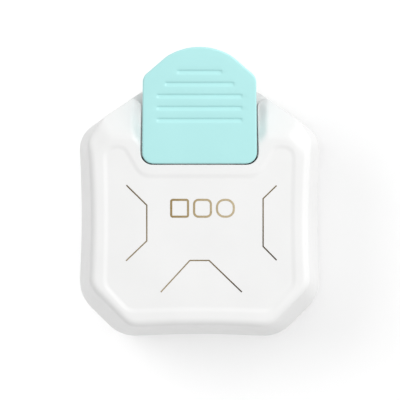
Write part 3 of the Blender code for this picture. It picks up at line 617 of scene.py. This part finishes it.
def cover_rings():
    """Leaning wall and crest, as (points, z) from the cover's bottom up to the rim."""
    body = mirrored(BODY_HALF)
    wall_top = mirrored(WALL_TOP_HALF)
    rings = [(ring(body), Z_COVER_BOTTOM)]
    for share in np.linspace(0.0, 1.0, WALL_RINGS):
        points = even(arcs(between(body, wall_top, share)), RING_POINTS, RING_SOFTEN)
        rings.append((points, Z_LEAN_START + (Z_WALL_TOP - Z_LEAN_START) * share))
    for angle in np.linspace(WALL_LEAN, math.pi / 2.0, CREST_RINGS)[1:]:
        points = ring(wall_top, CREST_RADIUS * (math.cos(WALL_LEAN) - math.cos(angle)))
        rings.append((points, Z_WALL_TOP + CREST_RADIUS * (math.sin(angle) - math.sin(WALL_LEAN))))
    rings[-1] = (rings[-1][0], Z_RIM)
    return rings


def recess_lines():
    """Open lines round the front and sides of the lever recess, from left to right."""
    middle_y = 14.0
    lines = []
    for distance in LIP_LINES:
        line = ring(mirrored(RECESS_HALF), -distance, 700, 0)
        part = line[line[:, 1] < LIP_START_Y + 3.0]
        lines.append(part[np.argsort(np.arctan2(part[:, 0], middle_y - part[:, 1]))])
    return lines


def cover_outside():
    rings = cover_rings()
    last = rings[-1][0]
    steps = np.arange(STEP_START, STEP_START + STEP_WIDTH + 0.2, 0.17)
    inner = [ring(mirrored(WALL_TOP_HALF), CREST_RADIUS + d) for d in CREST_LINES]
    inner += [ring(mirrored(PANEL_HALF), d, 460, 4) for d in steps]
    lines = recess_lines()
    fixed = np.vstack([last] + inner + lines)
    loose = []
    for limits in TOP_GRIDS:
        patch = grid(*limits)
        inside = patch[signed_distance(patch, last) > 0.3]
        loose.append(thinned(inside, fixed, 0.2))
        fixed = np.vstack([fixed, loose[-1]])
    return skin(rings, inner, lines, np.vstack(loose), cover_height)


def cover_cavity():
    body = inset(mirrored(BODY_HALF), WALL)
    wall_top = inset(mirrored(WALL_TOP_HALF), WALL)
    cavity = new_object("cavity", loft((
        (even(arcs(body), CAVITY_POINTS), Z_COVER_BOTTOM - 1.0),
        (even(arcs(wall_top), CAVITY_POINTS), Z_CEILING))))
    plan = np.array(((-FAR, 0.0), (FAR, 0.0), (FAR, FAR), (-FAR, FAR)))
    under_slope = Z_RIM - WALL / math.cos(SLOPE_ANGLE) - SLOPE * (plan[:, 1] - CAVITY_SLOPE_Y)
    boolean(cavity, loft(((plan, under_slope), (plan, ABOVE_ALL))))
    boolean(cavity, box((-RECESS_BACKING_X, RECESS_BACKING_Y + WALL, Z_DECK - 2.0),
                        (RECESS_BACKING_X, FAR, FAR)))
    boolean(cavity, discs(CASE_SCREWS, BOSS_RADIUS, Z_GUIDE_TOP + GAP, FAR))
    return taken(cavity)


def mouths():
    """Slots in the cover's wall where the paper's corner goes in."""
    return merged([box((x_low, y_low, Z_COVER_BOTTOM - 1.0), (x_high, y_high, Z_MOUTH_TOP))
                   for x_low, y_low, x_high, y_high in MOUTHS])


def make_cover():
    cover = new_object("cover_moulding", cover_outside(), WHITE)
    boolean(cover, cover_cavity())
    recess = even(arcs(mirrored(RECESS_HALF)), RING_POINTS)
    boolean(cover, loft(((recess, Z_DECK), (recess, ABOVE_ALL))))
    boolean(cover, mouths())
    boolean(cover, discs(CASE_SCREWS, SCREW_BORE_RADIUS, Z_GUIDE_TOP - 1.0, SCREW_BORE_TOP, 24))
    shade(cover)
    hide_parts("top_cover")
    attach(cover, "housing")


# ================================ base =========================================================

def rod_x(x_low, x_high, y, z, radius, sides=32):
    """Rod lying along X."""
    bm = disc(0.0, 0.0, radius, x_low, x_high, sides)
    turn = Matrix(((0, 0, 1, 0), (1, 0, 0, y * MM), (0, 1, 0, z * MM), (0, 0, 0, 1)))
    bmesh.ops.transform(bm, matrix=turn, verts=bm.verts)
    return bm


def base_outside():
    body = mirrored(BODY_HALF)
    rings = []
    for angle in np.linspace(0.0, math.pi / 2.0, 6):
        rings.append((ring(body, BASE_DRAFT + BASE_EDGE * (1.0 - math.sin(angle))),
                      Z_BASE_BOTTOM + BASE_EDGE * (1.0 - math.cos(angle))))
    rings += [(ring(body, inward), Z_BASE_RIM - down) for inward, down in BASE_RIM_EDGE]
    return loft(rings)


def hinge_lugs():
    """Blocks at the two ends of the chip door's hinge pin."""
    lugs = []
    for side in (-1.0, 1.0):
        near, far = sorted((side * DOOR_HALF_X, side * (DOOR_HALF_X + LUG_WIDTH)))
        lugs.append(box((near, HINGE_Y - LUG_HALF_DEPTH, Z_BASE_BOTTOM + 0.5),
                        (far, HINGE_Y + LUG_HALF_DEPTH, HINGE_Z + 2.0)))
    return merged(lugs)


def make_base():
    base = new_object("base_moulding", base_outside(), WHITE)
    inner = BASE_DRAFT + WALL
    for distance, low in ((inner + DIE_LEDGE, Z_FLOOR_TOP), (inner, Z_DIE_LOW - GAP)):
        points = ring(mirrored(BODY_HALF), distance, 200)
        boolean(base, loft(((points, low), (points, Z_BASE_RIM + 1.0))))
    boolean(base, discs(CASE_SCREWS, BOSS_RADIUS, Z_BASE_BOTTOM + 0.5, Z_DIE_LOW - GAP), "UNION")
    boolean(base, hinge_lugs(), "UNION")
    boolean(base, box((-DOOR_HALF_X, DOOR_FRONT_Y, 0.0), (DOOR_HALF_X, HINGE_Y + 1.8, 6.0)))
    boolean(base, rod_x(-HINGE_BORE_X, HINGE_BORE_X, HINGE_Y, HINGE_Z, HINGE_BORE_RADIUS, 24))
    boolean(base, discs(CASE_SCREWS, SCREW_HEAD_RADIUS, 0.0, SCREW_HEAD_TOP))
    boolean(base, discs(CASE_SCREWS, SCREW_BORE_RADIUS, SCREW_HEAD_TOP - 0.1, Z_BASE_RIM, 24))
    boolean(base, discs(FEET, FOOT_POCKET_RADIUS, 0.0, FOOT_POCKET_TOP, 40))
    shade(base)
    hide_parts("base_shell")
    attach(base, "housing")


# ================================ lever ========================================================

def groove_height(points, z):
    """Top of the thumb lever: five shallow grip grooves with soft walls and ends."""
    depth = np.zeros(len(points))
    for number, half_length in enumerate(GROOVE_HALF_LENGTHS):
        y = GROOVE_FIRST + GROOVE_PITCH * number
        behind = y + GROOVE_HALF_WIDTH - points[:, 1]
        ahead = points[:, 1] - y + GROOVE_HALF_WIDTH
        ends = half_length - np.abs(points[:, 0])
        shape = (s_curve((behind + GROOVE_OVERRUN) / GROOVE_REAR_WALL)
                 * s_curve((ahead + GROOVE_OVERRUN) / GROOVE_FRONT_WALL)
                 * s_curve((ends + 2.0 * GROOVE_OVERRUN) / GROOVE_END_WALL))
        depth = np.maximum(depth, GROOVE_DEPTH * shape)
    return z - np.where(z >= LEVER_TOP - 1e-6, depth, 0.0)


def lever_ring(inward):
    return ring(mirrored(LEVER_HALF), inward, LEVER_POINTS, 3)


def lever_outside():
    rings = [(lever_ring(SKIRT_DRAFT + 0.20), LEVER_SKIRT),
             (lever_ring(SKIRT_DRAFT + 0.05), LEVER_SKIRT + 0.15)]
    edge_low = LEVER_TOP - LEVER_EDGE
    for share in np.linspace(0.0, 1.0, 6):
        z = LEVER_SKIRT + SKIRT_EDGE + (edge_low - LEVER_SKIRT - SKIRT_EDGE) * share
        rings.append((lever_ring(SKIRT_DRAFT * (1.0 - share)), z))
    for angle in np.linspace(0.0, math.pi / 2.0, 9)[1:]:
        rings.append((lever_ring(LEVER_EDGE * (1.0 - math.cos(angle))),
                      edge_low + LEVER_EDGE * math.sin(angle)))
    lines = []
    for number, half_length in enumerate(GROOVE_HALF_LENGTHS):
        y = GROOVE_FIRST + GROOVE_PITCH * number
        for reach in GROOVE_LINES:
            dx = half_length - reach
            dy = GROOVE_HALF_WIDTH - reach
            border = np.array(((-dx, y - dy), (dx, y - dy), (dx, y + dy), (-dx, y + dy)))
            lines.append(even(border, 4 * int(half_length * 1.5)))
    last = rings[-1][0]
    patch = grid(*LEVER_GRID)
    loose = thinned(patch[signed_distance(patch, last) > 0.5], np.vstack([last] + lines), 0.4)
    return skin(rings, lines, [], loose, groove_height)


def make_lever():
    lever = new_object("thumb_pad", lever_outside(), MINT)
    hollow = ring(mirrored(LEVER_HALF), LEVER_WALL, 200, 3)
    ceiling = LEVER_TOP - LEVER_WALL
    boolean(lever, loft(((hollow, LEVER_SKIRT - 1.0), (hollow, ceiling))))
    boolean(lever, box((-ARM_NOTCH_X, ARM_NOTCH_Y, LEVER_SKIRT - 1.0),
                       (ARM_NOTCH_X, ARM_NOTCH_Y + 1.0 + 2.0 * LEVER_WALL, ARM_TOP)))
    boolean(lever, discs(LEVER_SCREWS, LEVER_BOSS_RADIUS, ARM_TOP, LEVER_TOP - LEVER_WALL * 0.5), "UNION")
    boolean(lever, discs(LEVER_SCREWS, LEVER_BORE_RADIUS, ARM_TOP - 0.3, ceiling + 0.2, 24))
    shade(lever)
    lever.data.transform(Matrix.Translation(PIVOT) @ Matrix.Rotation(LEVER_RISE, 4, "X"))
    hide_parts("thumb_lever")
    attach(lever, "lever")


# ================================ foil print ===================================================

def foil_strip(path, width, closed=False):
    """Thin strip of foil along a path, with mitred corners."""
    path = np.array(path, float)
    count = len(path)
    bm = bmesh.new()
    rows = []
    for i, point in enumerate(path):
        before = path[i] - path[i - 1] if closed or i > 0 else path[1] - path[0]
        after = path[(i + 1) % count] - path[i] if closed or i < count - 1 else before
        before = before / np.linalg.norm(before)
        after = after / np.linalg.norm(after)
        side = np.array((-before[1] - after[1], before[0] + after[0]))
        side = side / (1.0 + before @ after) * width / 2.0
        left, right = point + side, point - side
        rows.append([bm.verts.new((q[0] * MM, q[1] * MM, z * MM)) for q, z in
                     ((left, FOIL_LOW), (right, FOIL_LOW), (right, FOIL_HIGH), (left, FOIL_HIGH))])
    for i in range(count if closed else count - 1):
        low, high = rows[i], rows[(i + 1) % count]
        for k in range(4):
            j = (k + 1) % 4
            bm.faces.new((low[k], low[j], high[j], high[k]))
    if not closed:
        bm.faces.new(rows[0])
        bm.faces.new(list(reversed(rows[-1])))
    return bm


def card_glyph(x, y, size, radius):
    """Pictogram of a square card with rounded corners, as a closed path."""
    half = size / 2.0
    corners = [(x + sx * half, y + sy * half, radius) for sx, sy in ((1, -1), (1, 1), (-1, 1), (-1, -1))]
    return arcs(corners, 8)


def make_foil():
    # Each mark's colour stops are a painted reflection of the studio in the foil, lighter at one end and
    # darker at the other.
    marks = {
        "foil_mark_left": (
            [(-21.7, 1.95), (-15.65, -4.0), (-15.65, -14.6), (-21.8, -20.5)],
            ((0.0, (0.13, 0.09, 0.035)), (0.45, (0.24, 0.18, 0.095)), (1.0, (0.33, 0.26, 0.16)))),
        "foil_mark_right": (
            [(22.9, 1.85), (18.9, -2.05), (18.9, -16.25), (22.9, -20.3)],
            ((0.0, (0.22, 0.17, 0.095)), (0.35, (0.20, 0.15, 0.08)), (1.0, (0.045, 0.028, 0.008)))),
        "foil_mark_front": (
            [(-11.5, -29.8), (-2.85, -20.4), (2.85, -20.4), (12.6, -29.8)],
            ((0.0, (0.42, 0.34, 0.22)), (0.6, (0.24, 0.18, 0.10)), (1.0, (0.045, 0.028, 0.008)))),
    }
    for name, (path, stops) in marks.items():
        gold = foil(name + "_painted_reflection_gold", stops, (path[0], path[-1]))
        mark = new_object(name, foil_strip(path, MARK_WIDTH), gold)
        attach(mark, "housing")
    # The emblem's stops are a painted reflection too: darker at the left, lighter at the right.
    stops = ((0.0, (0.36, 0.26, 0.12)), (0.5, (0.50, 0.40, 0.24)), (1.0, (0.60, 0.50, 0.33)))
    gold = foil("foil_emblem_painted_reflection_gold", stops, ((-8.2, -5.0), (10.2, -5.0)))
    cards = [foil_strip(card_glyph(x, EMBLEM_Y, EMBLEM_SIZE, radius), EMBLEM_WIDTH, closed=True)
             for x, radius in EMBLEM_CARDS]
    emblem = new_object("foil_emblem", merged(cards), gold)
    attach(emblem, "housing")


# ================================ CAD nodes ====================================================

def finish_nodes():
    """Give every CAD node its material, by the start of its name; the first match counts."""
    finishes = (
        (RUBBER, ("foot_",)),
        (ZINC, ("case_screw_", "bracket_screw_", "lever_screw_", "chip_door_pin",
                "small_punch_rivet", "medium_punch_rivet", "large_punch_rivet")),
        (GREY, ("chip_door",)),
        (GROUND, ("die_plate", "small_punch", "medium_punch", "large_punch")),
        (STEEL, ("guide_plate", "guide_post_", "pivot_bracket", "pivot_pin", "lever_arm",
                 "nose_pin", "punch_carrier")),
        (SPRING, ("return_spring_", "pivot_clip")),
        (NYLON, ("press_nose",)),
        (WHITE, ("paper_fence_", "top_cover", "base_shell")),
        (MINT, ("thumb_lever",)),
    )
    for name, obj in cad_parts.items():
        mat = next(m for m, starts in finishes if name.startswith(starts))
        obj.data.materials.clear()
        obj.data.materials.append(mat)


def make_springs():
    """Return springs: each CAD coil copied into a mesh of its own and attached to the housing."""
    for number in range(1, 5):
        name = "return_spring_%d" % number
        bm = bmesh.new()
        bm.from_mesh(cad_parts[name].data)
        coil = new_object("return_coil_%d" % number, bm, SPRING)
        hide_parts(name)
        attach(coil, "housing")
        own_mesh(coil)


# ================================ stage ========================================================

def make_floor():
    bm = bmesh.new()
    bmesh.ops.create_grid(bm, x_segments=4, y_segments=4, size=1.5)
    mat, tree, shader = blank("paper_floor")
    tones = ((0.3, (0.955, 0.955, 0.955)), (0.7, (0.965, 0.965, 0.965)))
    tree.links.new(colours(tree, noise(tree, 6.0, 2.0), tones), shader.inputs["Base Color"])
    shader.inputs["Roughness"].default_value = 0.9
    shader.inputs["Specular IOR Level"].default_value = 0.0
    floor = new_object("floor", bm, mat)
    floor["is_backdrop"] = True
    return floor


def area_light(name, direction, distance, size, power, receivers, blockers=None):
    """Soft square light towards the object; it lights `receivers` and is blocked by `blockers`."""
    light = bpy.data.lights.new(name, "AREA")
    light.shape = "SQUARE"
    light.size = size
    light.energy = power
    obj = bpy.data.objects.new(name, light)
    away = Vector(direction).normalized()
    obj.location = LIGHT_TARGET + away * distance
    obj.rotation_mode = "QUATERNION"
    obj.rotation_quaternion = away.to_track_quat("Z", "Y")
    obj.visible_camera = False
    bpy.context.scene.collection.objects.link(obj)
    group = bpy.data.collections.new(name + "_receivers")
    for receiver in receivers:
        group.objects.link(receiver)
    obj.light_linking.receiver_collection = group
    if blockers is not None:
        shade_group = bpy.data.collections.new(name + "_blockers")
        for blocker in blockers:
            shade_group.objects.link(blocker)
        obj.light_linking.blocker_collection = shade_group


def light_scene(floor):
    world = bpy.data.worlds.new("studio")
    world.use_nodes = True
    tree = world.node_tree
    coords = tree.nodes.new("ShaderNodeTexCoord")
    split = tree.nodes.new("ShaderNodeSeparateXYZ")
    tree.links.new(coords.outputs["Generated"], split.inputs["Vector"])
    tree.nodes["Background"].inputs["Color"].default_value = (1.0, 1.0, 1.0, 1.0)
    towards_back = tree.nodes.new("ShaderNodeMath")
    towards_back.operation = "MULTIPLY_ADD"
    towards_back.inputs[1].default_value = SKY_TILT
    towards_back.inputs[2].default_value = SKY_STRENGTH
    tree.links.new(split.outputs["Y"], towards_back.inputs[0])
    tree.links.new(towards_back.outputs["Value"], tree.nodes["Background"].inputs["Strength"])
    bpy.context.scene.world = world
    object_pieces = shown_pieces()
    casting = [piece for piece in object_pieces if piece.name != "thumb_pad"]
    area_light("key", KEY_DIRECTION, 1.2, 0.6, 1.0, object_pieces)
    area_light("key_soft", KEY_DIRECTION, 1.2, 0.6, 7.3, object_pieces, casting)
    area_light("backdrop_light", (-0.62, 0.29, 0.73), 1.2, 0.7, 3.3, [floor])
    area_light("backdrop_fill", (0.0, 0.1, 1.0), 2.0, 1.2, 8.4, [floor], [floor])


def make_camera():
    data = bpy.data.cameras.new("camera")
    data.type = "ORTHO"
    data.ortho_scale = VIEW_WIDTH
    data.clip_end = 2.0
    camera = bpy.data.objects.new("camera", data)
    camera.location = CAMERA_PLACE
    bpy.context.scene.collection.objects.link(camera)
    bpy.context.scene.camera = camera
    bpy.context.scene.view_settings.view_transform = "Standard"


finish_nodes()
make_springs()
make_cover()
make_base()
make_lever()
make_foil()
light_scene(make_floor())
make_camera()
